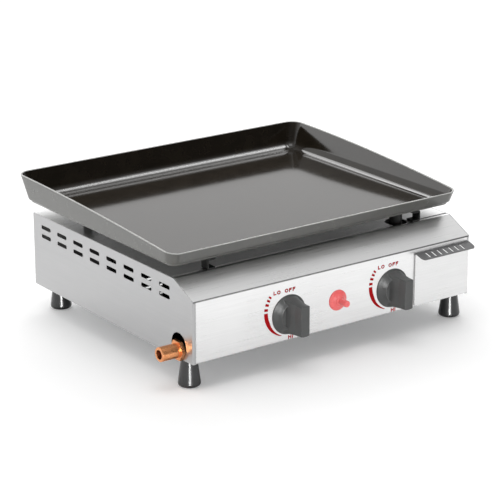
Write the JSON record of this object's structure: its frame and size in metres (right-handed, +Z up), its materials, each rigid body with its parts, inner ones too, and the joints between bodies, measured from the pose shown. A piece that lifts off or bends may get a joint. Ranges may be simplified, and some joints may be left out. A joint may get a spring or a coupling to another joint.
{
  "type": "flat top griddle",
  "caption": "Tabletop gas griddle: flared enamel cooking pan on a sloped steel housing with tapered feet, turn knobs, push igniter, side gas inlet and slide-out grease tray.",
  "frame": {"origin": "centre of the object's overall footprint (gas nipple to plate rim, knob face to plate rim), on the worktop plane under the feet", "axes": "+X to the right of a user at the controls, -Y towards the user, +Z up"},
  "size_m": [0.5486, 0.4916, 0.2113],
  "materials": {
    "stainless": "brushed along the width, satin",
    "galvanised": "plain galvanised sheet",
    "foot_rubber": "moulded, satin",
    "zinc_steel": "zinc plated",
    "black_enamel": "smooth semi-gloss black enamel",
    "grey_coat": "satin dark grey coat",
    "knob_plastic": "fine moulded grain",
    "brass": "turned",
    "cast_aluminium": "die cast",
    "spring_steel": "bright wire",
    "red_print": "screen print",
    "red_plastic": "moulded red",
    "black_plastic": "moulded",
    "copper_brass": "machined, copper toned",
    "burner_steel": "heat-tinted stainless tube",
    "ceramic": "glazed ceramic",
    "lead_jacket": "silicone jacket"
  },
  "bodies": {
    "housing": {"side_panel_left": "stainless", "side_panel_right": "stainless", "front_panel": "stainless", "rear_panel": "stainless", "top_frame": "stainless", "base_pan": "galvanised", "heat_shield": "galvanised", "foot_front_left": "foot_rubber", "foot_front_right": "foot_rubber", "foot_rear_left": "foot_rubber", "foot_rear_right": "foot_rubber", "foot_screws": "zinc_steel", "foot_nuts": "zinc_steel", "tray_rail_left": "galvanised", "tray_rail_right": "galvanised", "valve_body_left": "cast_aluminium", "valve_body_right": "cast_aluminium", "injector_left": "brass", "injector_right": "brass", "dial_print_left": "red_print", "dial_print_right": "red_print", "valve_screws": "zinc_steel", "igniter_bezel": "red_plastic", "igniter_nut": "black_plastic", "igniter_body": "black_plastic", "igniter_spring": "spring_steel", "gas_inlet_fitting": "copper_brass", "gas_manifold": "galvanised", "manifold_brackets": "galvanised", "burner_left": "burner_steel", "burner_right": "burner_steel", "burner_support": "galvanised", "electrode_left": "ceramic", "electrode_right": "ceramic", "electrode_pins": "spring_steel", "electrode_brackets": "galvanised", "ignition_lead_left": "lead_jacket", "ignition_lead_right": "lead_jacket", "housing_screws": "zinc_steel", "bracket_screws": "zinc_steel"},
    "griddle": {"griddle_plate": "black_enamel", "griddle_legs": "black_enamel", "grease_spout": "black_enamel"},
    "grease_tray": {"tray_front": "stainless", "tray_box": "stainless", "tray_handle": "grey_coat"},
    "left_valve_plug": {"valve_plug_left": "brass", "valve_spring_left": "spring_steel"},
    "left_knob": {"knob_left": "knob_plastic", "valve_stem_left": "brass"},
    "right_valve_plug": {"valve_plug_right": "brass", "valve_spring_right": "spring_steel"},
    "right_knob": {"knob_right": "knob_plastic", "valve_stem_right": "brass"},
    "igniter_button": {"igniter_button": "red_plastic"}
  },
  "joints": [
    {"name": "left_knob_turn", "type": "hinge", "parent": "housing", "child": "left_valve_plug", "pos_m": [-0.0801, -0.20222, 0.0813], "axis": [0, -1, 0], "range_deg": [0, 180]},
    {"name": "left_knob_push", "type": "slide", "parent": "left_valve_plug", "child": "left_knob", "axis": [0, 1, 0], "range_m": [0, 0.0025], "stiffness_N_per_m": 1500, "springref_m": -0.002, "deforming": ["valve_spring_left"]},
    {"name": "right_knob_turn", "type": "hinge", "parent": "housing", "child": "right_valve_plug", "pos_m": [0.1077, -0.20222, 0.0813], "axis": [0, -1, 0], "range_deg": [0, 180]},
    {"name": "right_knob_push", "type": "slide", "parent": "right_valve_plug", "child": "right_knob", "axis": [0, 1, 0], "range_m": [0, 0.0025], "stiffness_N_per_m": 1500, "springref_m": -0.002, "deforming": ["valve_spring_right"]},
    {"name": "igniter_push", "type": "slide", "parent": "housing", "child": "igniter_button", "axis": [0, 1, 0], "range_m": [0, 0.007], "stiffness_N_per_m": 900, "springref_m": -0.003, "deforming": ["igniter_spring"]},
    {"name": "grease_tray_slide", "type": "slide", "parent": "housing", "child": "grease_tray", "axis": [0, -1, 0], "range_m": [0, 0.12]},
    {"name": "griddle_lift", "type": "slide", "parent": "housing", "child": "griddle", "axis": [0, 0, 1], "range_m": [0, 0.08]}
  ]
}
